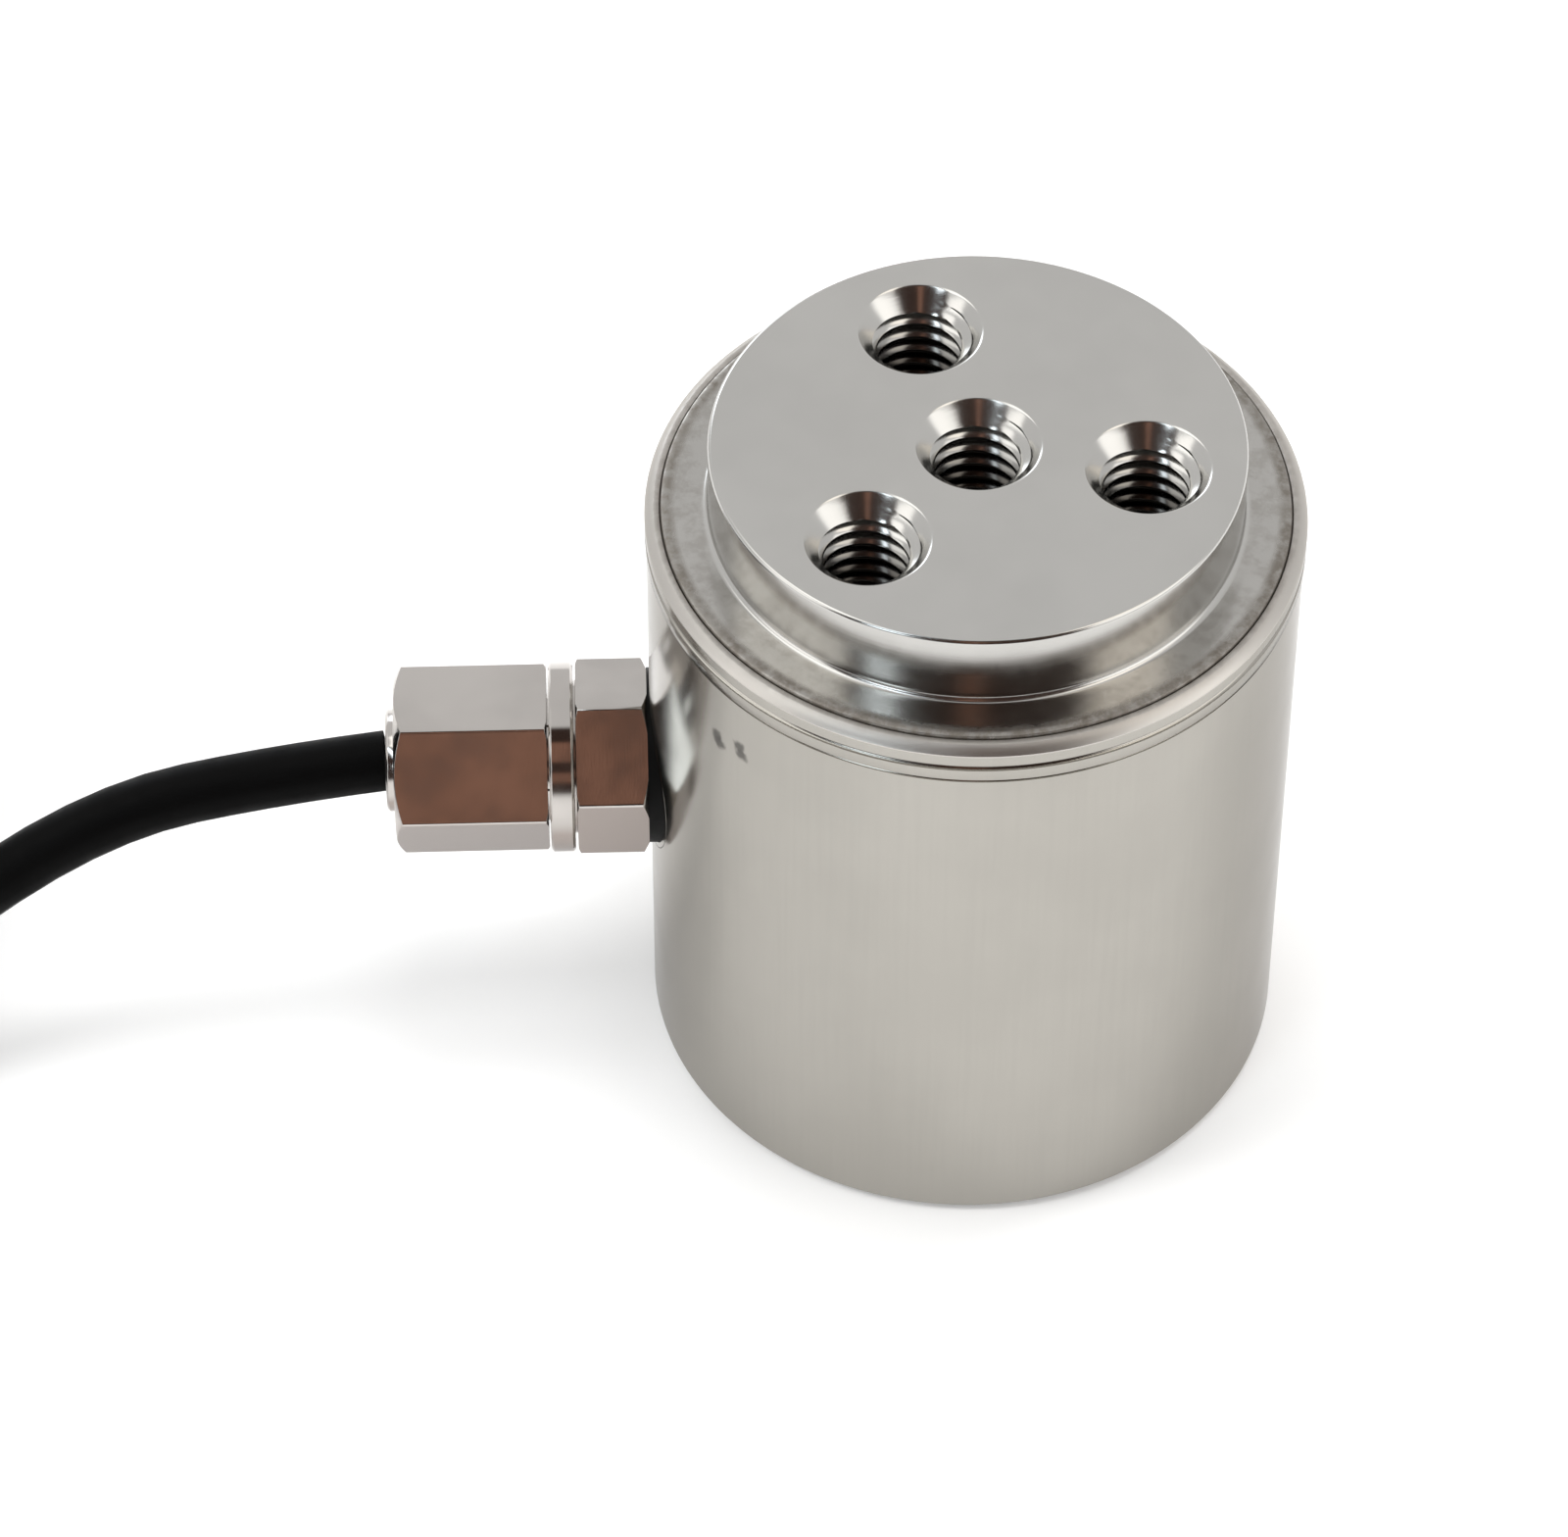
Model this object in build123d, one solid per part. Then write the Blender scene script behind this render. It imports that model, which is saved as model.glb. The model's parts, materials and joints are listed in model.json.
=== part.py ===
"""Column load cell: a one-piece spool, a thin shell round it and a gland for its cable.

Millimetres, +Z up. The origin is the centre of the spool's bottom face, on the column's axis.
The cable gland points along -X.
"""

import os
from math import cos, pi, radians, sin, sqrt, tan

from build123d import *

os.makedirs("parts", exist_ok=True)

# Spool: boss and head above, gauge column, base below, turned from one bar
total_height = 61.0
boss_radius = 20.2
boss_height = 6.2
boss_edge_fillet = 0.35
boss_foot_fillet = 0.5
head_thickness = 9.8
base_thickness = 12.0
column_radius = 10.0
column_flats = 18.0
column_flat_margin = 3.0
column_fillet = 2.0
base_edge_chamfer = 0.4
spool_weld_chamfer = 0.3

# Shell: a tube welded to the head and the base, with a rim, a groove and a bead at the top
shell_radius = 24.9
shell_wall = 1.05
shell_fit = 0.05
shell_foot_gap = 0.5
shell_edge_chamfer = 0.25
rim_radius = 25.0
rim_height = 3.4
rim_drop = 0.25
rim_chamfer = 0.65
rim_groove_radius = 0.32
rim_groove_drop = 1.9
seam_groove_radius = 0.16

# Fixing holes: 5/16-18 UNC, one on the axis and three round it, the same at both ends
tap_drill_radius = 3.3
countersink_radius = 4.8
thread_relief_radius = 4.05
thread_relief_depth = 1.7
drill_point_angle = 118.0
hole_circle_radius = 12.8
hole_count = 3
hole_first_angle = 107.4
top_drill_depth = 12.0
base_drill_depth = 9.0
cut_overlap = 1.0

# Cable entry bush: welded flush into the shell, threaded for the gland
gland_drop = 1.6
bush_radius = 7.3
bush_length = 4.8
bush_fit = 0.05
spot_face_radius = 6.9
gland_thread_radius = 5.0
thread_fit = 0.05

# Gland body and pressure nut, measured outward from the hexagon's inner face
gland_standoff = 0.2
body_across_flats = 13.25
nut_across_flats = 13.0
hexagon_length = 5.55
hexagon_foot_chamfer = 0.8
hexagon_chamfer_angle = 30.0
body_hexagon_tilt = 47.0
nut_hexagon_tilt = 35.0
thread_length = 5.6
thread_neck_radius = 4.4
thread_neck_length = 1.6
collar_groove = 0.2
collar_groove_radius = 6.0
collar_length = 1.9
collar_radius = 7.45
small_chamfer = 0.2
nut_gap = 0.15
nut_length = 11.9
nut_end_wall = 2.6
nut_end_chamfer = 1.1
nut_lip_length = 0.7
nut_lip_radius = 4.0
spigot_length = 8.4
seal_pocket_radius = 3.9
seal_pocket_depth = 6.0
seal_squeeze_room = 0.6
seal_ring_fit = 0.05
washer_thickness = 0.5
seal_fit = 0.03

# Cable and its cores
cable_radius = 2.4
cable_hole_fit = 0.2
cable_inner_length = 1.0
core_radius = 0.5
core_column_clearance = 1.6
core_bend = 0.9
core_lean = 0.3
core_drop = 3.0
core_waist = 2.6
core_circle_radius = 1.35
strand_radius = 0.3

# Strain gauges, terminals and the two half-ring boards round the column's foot
gauge_width = 5.6
gauge_length = 8.0
gauge_thickness = 0.12
gauge_rise = 3.0
terminal_width = 5.0
terminal_length = 2.4
terminal_thickness = 0.4
terminal_drop = 7.0
pad_column_gap = 1.0
pad_shell_gap = 3.25
pad_thickness = 0.6
board_thickness = 1.0
board_half_gap = 0.8
board_margin = 0.4
pin_radius = 0.35
pin_collar_radius = 0.7
pin_collar_height = 0.4
pin_height = 1.5
pin_fit = 0.05
gauge_pin_margin = 1.6
gauge_wire_radius = 0.2
gauge_wire_spacing = 2.4
gauge_wire_bend = 2.0
core_names = ("red", "black", "green", "white", "drain")
core_pin_margin = 2.1
far_core_pin_margin = 2.0
core_pin_angles = (180.0, 150.0, 160.0, 200.0, 210.0)
resistor_radius = 0.9
resistor_length = 4.2
resistor_cap_length = 0.85
resistor_waist_radius = 0.76
resistor_angles = (228.0, 312.0, 48.0)

# Free cable: it drops to the floor and goes into a tied coil of the length that isn't laid out
corner_share = 0.45
coil_centre = (-123.0, 8.5)
coil_mid_radius = 25.5
coil_columns = 3
coil_layers = 6
tie_thickness = 0.8
tie_width = 3.2
tie_fit = 0.1
tie_angles = (20.0, 160.0)
sleeve_radius = 2.75
sleeve_length = 14.0
sleeve_overlap = 6.0
sleeve_fit = 0.02
tail_start_angle = -30.0
tail_first_inset = 3.0
tail_inset = 3.5
tail_length = 20.0
lead_straight = 3.0
lead_spacing = 2.1
lead_bend = 2.5
lead_first_spread = 0.6
lead_first_rise = 0.15
lead_length = 30.0
tip_length = 6.0

# Two circles are the same edge when radius and height agree this closely
edge_tolerance = 0.01

# Sizes that follow from the ones above
cable_diameter = 2 * cable_radius
ledge_height = total_height - boss_height
head_underside = ledge_height - head_thickness
shell_bore = shell_radius - shell_wall
flange_radius = shell_bore - shell_fit
shell_top = ledge_height - rim_drop
column_middle = (base_thickness + head_underside) / 2
gland_height = column_middle - gland_drop
gauge_height = gland_height + gauge_rise
gland_seat = shell_radius + gland_standoff
body_corner = body_across_flats / sqrt(3)
nut_corner = nut_across_flats / sqrt(3)
spot_face_depth = sqrt(shell_radius**2 - spot_face_radius**2)
collar_start = hexagon_length + collar_groove
spigot_start = collar_start + collar_length
nut_start = spigot_start + nut_gap
nut_end = nut_start + nut_length
spigot_end = spigot_start + spigot_length
washer_end = nut_end - nut_end_wall
seal_end = washer_end - washer_thickness
seal_start = spigot_end - seal_pocket_depth
cable_exit = nut_end + nut_lip_length
cable_hole_radius = cable_radius + cable_hole_fit
cable_inner_start = -(thread_length + cable_inner_length)
gland_plane = Plane(origin=(-gland_seat, 0, gland_height), x_dir=(0, -1, 0), z_dir=(-1, 0, 0))
pad_inner_radius = column_radius + column_fillet + pad_column_gap
pad_outer_radius = shell_bore - pad_shell_gap
board_inner_radius = pad_inner_radius + board_margin
board_outer_radius = pad_outer_radius - board_margin
gauge_pin_radius = board_inner_radius + gauge_pin_margin
core_pin_radius = board_inner_radius + core_pin_margin
far_core_pin_radius = board_outer_radius - far_core_pin_margin
resistor_circle_radius = (board_inner_radius + board_outer_radius) / 2
pad_top = base_thickness + pad_thickness
board_top = pad_top + board_thickness
pin_top = board_top + pin_collar_height + pin_height
column_flat_distance = column_flats / 2
coil_outer_radius = coil_mid_radius + coil_columns * cable_radius
coil_bottom = tie_thickness + tie_fit
coil_top = coil_bottom + coil_layers * cable_diameter
entry_radius = coil_outer_radius - cable_radius


def write(node, shape):
    """One STEP file per named piece."""
    export_step(shape, f"parts/{node}.step")


def ring(inner, outer, length):
    """A plain tube standing on the plane z = 0."""
    low = (Align.CENTER, Align.CENTER, Align.MIN)
    return Cylinder(outer, length, align=low) - Cylinder(inner, length, align=low)


def rod(radius, start, end):
    """A round bar along Z from start to end."""
    low = (Align.CENTER, Align.CENTER, Align.MIN)
    return Pos(0, 0, start) * Cylinder(radius, end - start, align=low)


def turned(points):
    """A solid of revolution about Z from its half outline, given as (radius, height) corners."""
    outline = Polyline(*[(r, 0, z) for r, z in points], close=True)
    return revolve(make_face(outline), Axis.Z)


def on_circle(radius, angle, height=0.0):
    """A point on a circle round Z."""
    return (radius * cos(radians(angle)), radius * sin(radians(angle)), height)


def wire_tube(points, radius, bend):
    """A round wire along straight runs joined by tangent arcs, each held within its runs."""
    radii = [min(bend, widest) for widest in corner_radii(points)]
    path = FilletPolyline(*points, radius=radii)
    start = Plane(origin=path @ 0, z_dir=path % 0)
    return sweep(start * Circle(radius), path=path)


def blind_hole(drill_depth):
    """The void of a tapped hole that opens upward at z = 0: drilled wall and drill point."""
    point_depth = tap_drill_radius / tan(radians(drill_point_angle / 2))
    return turned(
        [
            (0, cut_overlap),
            (tap_drill_radius, cut_overlap),
            (tap_drill_radius, -drill_depth),
            (0, -drill_depth - point_depth),
        ]
    )


def countersink():
    """The mouth of a hole on the boss, opening upward at z = 0: a cone and the relief under it."""
    return turned(
        [
            (0, cut_overlap),
            (countersink_radius + cut_overlap, cut_overlap),
            (thread_relief_radius, thread_relief_radius - countersink_radius),
            (thread_relief_radius, -thread_relief_depth),
            (0, -thread_relief_depth),
        ]
    )


def hole_places():
    """Centres of the hole on the axis and of the three round it."""
    turns = [hole_first_angle + k * 360 / hole_count for k in range(hole_count)]
    return [(0, 0)] + [on_circle(hole_circle_radius, a)[:2] for a in turns]


def circles_at(solid, places):
    """The solid's circular edges whose radius and height are among the (radius, height) places."""
    found = []
    for edge in solid.edges().filter_by(GeomType.CIRCLE):
        for radius, height in places:
            same_radius = abs(edge.radius - radius) < edge_tolerance
            if same_radius and abs(edge.arc_center.Z - height) < edge_tolerance:
                found.append(edge)
    return found


def elastic_element():
    """Boss, head, gauge column and base in one piece, tapped at both ends."""
    spool = turned(
        [
            (0, 0),
            (flange_radius, 0),
            (flange_radius, base_thickness),
            (column_radius, base_thickness),
            (column_radius, head_underside),
            (flange_radius, head_underside),
            (flange_radius, ledge_height),
            (boss_radius, ledge_height),
            (boss_radius, total_height),
            (0, total_height),
        ]
    )
    roots = [(column_radius, base_thickness), (column_radius, head_underside)]
    spool = fillet(circles_at(spool, [(boss_radius, ledge_height)]), boss_foot_fillet)
    spool = fillet(circles_at(spool, roots), column_fillet)
    spool = fillet(circles_at(spool, [(boss_radius, total_height)]), boss_edge_fillet)
    spool = chamfer(circles_at(spool, [(flange_radius, ledge_height)]), spool_weld_chamfer)
    spool = chamfer(circles_at(spool, [(flange_radius, 0)]), base_edge_chamfer)
    flat_bottom = base_thickness + column_flat_margin
    flat_top = head_underside - column_flat_margin
    square = Pos(0, 0, column_middle) * Box(column_flats, column_flats, flat_top - flat_bottom)
    spool -= rod(column_radius + cut_overlap, flat_bottom, flat_top) - square
    base_hole = mirror(blind_hole(base_drill_depth), Plane.XY)
    for x, y in hole_places():
        top = Pos(x, y, total_height)
        spool -= top * blind_hole(top_drill_depth)
        spool -= top * countersink()
        spool -= Pos(x, y, 0) * base_hole
    return spool


def outer_shell():
    """Thin tube with a proud rim at its top: chamfered edge, turned groove, bead and seam line."""
    rim_bottom = shell_top - rim_height
    tube = turned(
        [
            (shell_bore, shell_foot_gap),
            (shell_radius - shell_edge_chamfer, shell_foot_gap),
            (shell_radius, shell_foot_gap + shell_edge_chamfer),
            (shell_radius, rim_bottom),
            (rim_radius, rim_bottom + (rim_radius - shell_radius)),
            (rim_radius, shell_top - rim_chamfer),
            (rim_radius - rim_chamfer, shell_top),
            (shell_bore + shell_edge_chamfer, shell_top),
            (shell_bore, shell_top - shell_edge_chamfer),
        ]
    )
    groove = Pos(0, 0, shell_top - rim_groove_drop) * Torus(rim_radius, rim_groove_radius)
    seam = Pos(0, 0, rim_bottom) * Torus(shell_radius, seam_groove_radius)
    port = gland_plane * rod(bush_radius + bush_fit, -bush_length, gland_standoff)
    return tube - groove - seam - port


def entry_bush():
    """Threaded bush, dressed flush with the shell's outside and spot faced for the gland's seal."""
    blank = gland_plane * rod(bush_radius, -gland_standoff - bush_length, 0)
    outside = Pos(0, 0, gland_height) * Cylinder(shell_radius, 4 * bush_radius)
    seat = gland_plane * rod(spot_face_radius, spot_face_depth - gland_seat, 0)
    bore = gland_plane * rod(gland_thread_radius, -gland_standoff - bush_length, 0)
    return (blank & outside) - seat - bore


def seal_ring():
    """Flat rubber ring between the gland's hexagon and the spot face."""
    inner = thread_neck_radius + seal_fit
    outer = spot_face_radius - seal_ring_fit
    thickness = gland_seat - spot_face_depth
    return gland_plane * Pos(0, 0, -thickness) * ring(inner, outer, thickness)


def hexagon(across, start, end, tilt):
    """A hexagonal bar along the gland's axis, one flat tilted up from the front by tilt degrees."""
    outline = RegularPolygon(across / 2, 6, major_radius=False, rotation=tilt - 30)
    return Pos(0, 0, start) * extrude(outline, end - start)


def gland_body():
    """Inner thread, hexagon, collar and the spigot under the nut, bored for cable and seal."""
    foot_cut = hexagon_foot_chamfer * tan(radians(hexagon_chamfer_angle))
    hexagon_blank = turned(
        [
            (0, 0),
            (body_corner - hexagon_foot_chamfer, 0),
            (body_corner, foot_cut),
            (body_corner, hexagon_length - small_chamfer),
            (body_corner - 2 * small_chamfer, hexagon_length),
            (0, hexagon_length),
        ]
    )
    body = hexagon(body_across_flats, 0, hexagon_length, body_hexagon_tilt) & hexagon_blank
    body += rod(collar_groove_radius, hexagon_length, collar_start)
    body += turned(
        [
            (0, collar_start),
            (collar_radius - small_chamfer, collar_start),
            (collar_radius, collar_start + small_chamfer),
            (collar_radius, spigot_start - small_chamfer),
            (collar_radius - small_chamfer, spigot_start),
            (0, spigot_start),
        ]
    )
    thread = gland_thread_radius - thread_fit
    body += turned(
        [
            (0, spigot_start),
            (thread, spigot_start),
            (thread, spigot_end - small_chamfer),
            (thread - small_chamfer, spigot_end),
            (0, spigot_end),
        ]
    )
    body += turned(
        [
            (0, 0),
            (thread_neck_radius, 0),
            (thread_neck_radius, -thread_neck_length),
            (thread, -thread_neck_length - (thread - thread_neck_radius)),
            (thread, -thread_length + small_chamfer),
            (thread - small_chamfer, -thread_length),
            (0, -thread_length),
        ]
    )
    body -= rod(cable_hole_radius, -thread_length, spigot_end)
    body -= rod(seal_pocket_radius, seal_start, spigot_end)
    return gland_plane * body


def gland_seal():
    """Rubber sleeve that grips the cable in the spigot's pocket."""
    outer = seal_pocket_radius - seal_fit
    taper = seal_squeeze_room
    sleeve = turned(
        [
            (cable_radius + seal_fit, seal_start),
            (outer, seal_start),
            (outer, seal_end - taper),
            (outer - taper / 2, seal_end),
            (cable_radius + seal_fit, seal_end),
        ]
    )
    return gland_plane * sleeve


def slip_washer():
    """Plain washer that keeps the turning nut from twisting the seal."""
    washer = ring(cable_hole_radius, seal_pocket_radius, washer_thickness)
    return gland_plane * Pos(0, 0, seal_end) * washer


def pressure_nut():
    """Long hexagonal cap, chamfered at its outer end, with a short round lip round the cable."""
    end_cut = nut_end_chamfer * tan(radians(hexagon_chamfer_angle))
    blank = turned(
        [
            (0, nut_start),
            (nut_corner - 2 * small_chamfer, nut_start),
            (nut_corner, nut_start + small_chamfer),
            (nut_corner, nut_end - end_cut),
            (nut_corner - nut_end_chamfer, nut_end),
            (0, nut_end),
        ]
    )
    nut = hexagon(nut_across_flats, nut_start, nut_end, nut_hexagon_tilt) & blank
    nut += turned(
        [
            (0, nut_end),
            (nut_lip_radius, nut_end),
            (nut_lip_radius, cable_exit - small_chamfer),
            (nut_lip_radius - small_chamfer, cable_exit),
            (0, cable_exit),
        ]
    )
    nut -= rod(gland_thread_radius, nut_start, washer_end)
    nut -= rod(cable_hole_radius, washer_end, cable_exit)
    return gland_plane * nut


def core_angle(k):
    """Where core k sits round the cable's own axis: the first lies lowest."""
    return k * 360 / len(core_names) - 90


def cable_inner():
    """The sheathed cable where the gland holds it, from the chamber to the nut's lip."""
    return gland_plane * rod(cable_radius, cable_inner_start, cable_exit)


def core_pin_place(k):
    """Where core k's pin stands on its board: the first one stands further out, between the others."""
    radius = far_core_pin_radius if k == 0 else core_pin_radius
    return on_circle(radius, core_pin_angles[k])[:2]


def inner_core(k):
    """One core: out of the sheath, over in a bend and down to its pin. The lowest bends last."""
    sheath_end = -gland_seat - cable_inner_start
    across = core_circle_radius * cos(radians(core_angle(k)))
    up = core_circle_radius * sin(radians(core_angle(k)))
    turn = up - core_circle_radius - core_column_clearance - column_flat_distance
    x, y = core_pin_place(k)
    z = pin_top
    points = [
        (sheath_end, across, gland_height + up),
        (turn, across, gland_height + up),
        (turn - core_lean, (across + y) / 2, z + core_drop + core_waist),
        (x, y, z + core_drop),
        (x, y, z),
    ]
    return wire_tube(points, core_size(k), core_bend)


def rank(k):
    """Order of core k from the cable's one side to its other, so that no two cores cross."""
    sides = sorted(range(len(core_names)), key=lambda n: cos(radians(core_angle(n))))
    return sides.index(k)


def strain_gauge(face):
    """Foil gauge on one flat of the column."""
    foil = Box(gauge_thickness, gauge_width, gauge_length)
    place = Pos(column_flat_distance + gauge_thickness / 2, 0, gauge_height)
    return Rot(0, 0, 90 * face) * place * foil


def gauge_terminal(face):
    """Solder terminal pad under a gauge."""
    pad = Box(terminal_thickness, terminal_width, terminal_length)
    place = Pos(column_flat_distance + terminal_thickness / 2, 0, gauge_height - terminal_drop)
    return Rot(0, 0, 90 * face) * place * pad


def gauge_wires(face):
    """Two fine wires from a terminal pad down to their pins on the board."""
    pair = []
    for side in (-0.5, 0.5):
        y = side * gauge_wire_spacing
        start = column_flat_distance + terminal_thickness
        low = gauge_height - terminal_drop
        pin = sqrt(gauge_pin_radius**2 - y**2)
        points = [(start, y, low), (pin, y, low), (pin, y, pin_top)]
        pair.append(wire_tube(points, gauge_wire_radius, gauge_wire_bend))
    return Rot(0, 0, 90 * face) * Compound(pair)


def half_ring(inner, outer, start, height, side):
    """Half of a flat ring round Z, on side -1 or +1 of the plane x = 0, with a gap to the other half."""
    whole = Pos(0, 0, start) * ring(inner, outer, height)
    middle = Pos(side * (outer + board_half_gap / 2), 0, start + height / 2)
    return whole & (middle * Box(2 * outer, 4 * outer, 4 * height))


def board_pad(side):
    """Insulating pad under one board."""
    return half_ring(pad_inner_radius, pad_outer_radius, base_thickness, pad_thickness, side)


def pin_points(side):
    """Places of the solder pins on one board: two for each gauge near it, and one for each core."""
    points = []
    for face in range(4):
        for half in (-0.5, 0.5):
            y = half * gauge_wire_spacing
            x = sqrt(gauge_pin_radius**2 - y**2)
            turn = radians(90 * face)
            points.append((x * cos(turn) - y * sin(turn), x * sin(turn) + y * cos(turn)))
    points += [core_pin_place(k) for k in range(len(core_names))]
    return [p for p in points if p[0] * side > board_half_gap / 2]


def half_board(side):
    """Half-ring circuit board with a hole for each pin."""
    board = half_ring(board_inner_radius, board_outer_radius, pad_top, board_thickness, side)
    for x, y in pin_points(side):
        board -= Pos(x, y, 0) * rod(pin_radius + pin_fit, pad_top, board_top)
    return board


def solder_pins(side):
    """The board's pins: a stem through the board, a collar on it and a post above."""
    pin = turned(
        [
            (0, pad_top),
            (pin_radius, pad_top),
            (pin_radius, board_top),
            (pin_collar_radius, board_top),
            (pin_collar_radius, board_top + pin_collar_height),
            (pin_radius, board_top + pin_collar_height),
            (pin_radius, pin_top),
            (0, pin_top),
        ]
    )
    return Compound([Pos(x, y, 0) * pin for x, y in pin_points(side)])


def resistor(angle):
    """Small round resistor with end caps, lying on a board along its ring."""
    half = resistor_length / 2
    body = turned(
        [
            (0, -half),
            (resistor_radius, -half),
            (resistor_radius, -half + resistor_cap_length),
            (resistor_waist_radius, -half + resistor_cap_length),
            (resistor_waist_radius, half - resistor_cap_length),
            (resistor_radius, half - resistor_cap_length),
            (resistor_radius, half),
            (0, half),
        ]
    )
    place = Pos(resistor_circle_radius, 0, board_top + resistor_radius)
    return Rot(0, 0, angle) * place * Rot(90, 0, 0) * body


def corner_radii(points):
    """For each corner of a route, the largest arc that keeps to its share of the shorter run."""
    radii = []
    for a, b, c in zip(points, points[1:], points[2:]):
        first = Vector(*b) - Vector(*a)
        second = Vector(*c) - Vector(*b)
        half_turn = radians(first.get_angle(second) / 2)
        radii.append(corner_share * min(first.length, second.length) / tan(half_turn))
    return radii


def cord_tube(name, points, radius):
    """A cord's tube along its route, with its radii and its volume printed."""
    radii = corner_radii(points)
    path = FilletPolyline(*points, radius=radii)
    start = Plane(origin=path @ 0, z_dir=path % 0)
    tube = sweep(start * Circle(radius), path=path)
    expected = pi * radius**2 * path.length
    print(name, "length", round(path.length, 1), "radii", [round(r, 1) for r in radii])
    print(name, "volume over section times length", round(tube.volume / expected, 4))
    return tube


# The free cable's route: out of the nut, down in an easy slope and forward, then flat to the coil's side
cable_route = [
    (-gland_seat - cable_exit, 0.0, gland_height),
    (-54.0, -0.6, gland_height - 0.7),
    (-68.0, -2.0, 23.8),
    (-84.0, -7.0, 14.5),
    (-97.0, -13.5, 6.0),
    (-109.0, -18.5, coil_bottom + cable_radius),
    (coil_centre[0], coil_centre[1] - entry_radius, coil_bottom + cable_radius),
]


def cable_coil():
    """Outer shape of the tied coil: a round-cornered ring standing on its ties."""
    middle = (coil_bottom + coil_top) / 2
    wide = coil_columns * cable_diameter
    section = RectangleRounded(wide, coil_layers * cable_diameter, cable_radius)
    place = Plane(origin=(coil_mid_radius, 0, middle), x_dir=(1, 0, 0), z_dir=(0, -1, 0))
    return Pos(*coil_centre, 0) * revolve(place * section, Axis.Z)


def coil_tie(angle):
    """Flat band round the coil's section."""
    middle = (coil_bottom + coil_top) / 2
    wide = coil_columns * cable_diameter + 2 * tie_fit
    high = coil_layers * cable_diameter + 2 * tie_fit
    round_outside = cable_radius + tie_thickness
    outer = RectangleRounded(wide + 2 * tie_thickness, high + 2 * tie_thickness, round_outside)
    inner = RectangleRounded(wide, high, cable_radius)
    place = Plane(origin=(coil_mid_radius, tie_width / 2, middle), x_dir=(1, 0, 0), z_dir=(0, -1, 0))
    band = extrude(place * (outer - inner), tie_width)
    return Pos(*coil_centre, 0) * Rot(0, 0, angle) * band


def tail_point(travel, offset=0.0, height=0.0):
    """A point on the coil's top, a distance along its middle circle from where the tail starts."""
    angle = tail_start_angle - travel / coil_mid_radius * 180 / pi
    x, y, z = on_circle(coil_mid_radius + offset, angle, coil_top + height)
    return (coil_centre[0] + x, coil_centre[1] + y, z)


def tail_route():
    """Route of the cable's last stretch, on top of the coil."""
    return [
        tail_point(0, 0, sleeve_radius),
        tail_point(tail_length / 2, -tail_first_inset, sleeve_radius),
        tail_point(tail_length, -tail_inset, sleeve_radius),
    ]


def cable_tail():
    """The cable's last stretch."""
    return cord_tube("cable_tail", tail_route(), cable_radius)


def sleeve_line():
    """Where the tail ends and which way it points there."""
    before, last = [Vector(*point) for point in tail_route()[-2:]]
    return last, (last - before).normalized()


def end_sleeve():
    """Shrunk sleeve over the cut end of the sheath, closed round the cores at its far end."""
    last, along = sleeve_line()
    barrel = rod(sleeve_radius, -sleeve_overlap, sleeve_length - sleeve_overlap)
    barrel = chamfer(barrel.edges().filter_by(GeomType.CIRCLE), small_chamfer)
    barrel -= rod(cable_radius + sleeve_fit, -sleeve_overlap, 0)
    return Plane(origin=last, z_dir=along) * barrel


def core_size(k):
    """Radius of core k: the drain wire is bare and thinner than the insulated cores."""
    return strand_radius if core_names[k] == "drain" else core_radius


def lead_route(k):
    """Route of lead k: straight out of the sleeve, down on the coil's top and along its ring."""
    last, along = sleeve_line()
    side = along.cross(Vector(0, 0, 1))
    across = core_circle_radius * cos(radians(core_angle(k)))
    up = core_circle_radius * sin(radians(core_angle(k)))
    start = last + along * (sleeve_length - sleeve_overlap) + side * across + Vector(0, 0, up)
    spread = (rank(k) - (len(core_names) - 1) / 2) * lead_spacing
    reach = tail_length + sleeve_length - sleeve_overlap
    middle = (lead_length + lead_straight) / 2
    rise = lead_first_rise * (up + core_circle_radius)
    return [
        tuple(start),
        tuple(start + along * lead_straight),
        tail_point(reach + middle, -lead_first_spread * spread, core_size(k) + rise),
        tail_point(reach + lead_length, -spread, core_size(k)),
    ]


def lead(k):
    """One lead, along its route."""
    return wire_tube(lead_route(k), core_size(k), lead_bend)


def lead_tip(k):
    """The tinned end of one lead."""
    points = lead_route(k)
    end = Vector(*points[-1])
    along = (end - Vector(*points[-2])).normalized()
    return Plane(origin=end, z_dir=along) * rod(strand_radius, 0, tip_length)


write("elastic_element", elastic_element())
write("outer_shell", outer_shell())
write("entry_bush", entry_bush())
write("seal_ring", seal_ring())
write("gland_body", gland_body())
write("gland_seal", gland_seal())
write("slip_washer", slip_washer())
write("pressure_nut", pressure_nut())
write("cable_inner", cable_inner())
for number, core in enumerate(core_names):
    write(f"inner_core_{core}", inner_core(number))
for face_number in range(4):
    write(f"strain_gauge_{face_number + 1}", strain_gauge(face_number))
    write(f"gauge_terminal_{face_number + 1}", gauge_terminal(face_number))
    write(f"gauge_wires_{face_number + 1}", gauge_wires(face_number))
for side_name, side_sign in (("left", -1), ("right", 1)):
    write(f"board_pad_{side_name}", board_pad(side_sign))
    write(f"bridge_board_{side_name}", half_board(side_sign))
    write(f"solder_pins_{side_name}", solder_pins(side_sign))
for number, resistor_angle in enumerate(resistor_angles):
    write(f"trim_resistor_{number + 1}", resistor(resistor_angle))
coil = cable_coil()
write("cable_coil", coil)
write("cable", cord_tube("cable", cable_route, cable_radius) - coil - cable_inner())
for number, tie_angle in enumerate(tie_angles):
    write(f"coil_tie_{number + 1}", coil_tie(tie_angle))
write("cable_tail", cable_tail())
write("end_sleeve", end_sleeve())
for number, core in enumerate(core_names):
    write(f"lead_{core}", lead(number))
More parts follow.
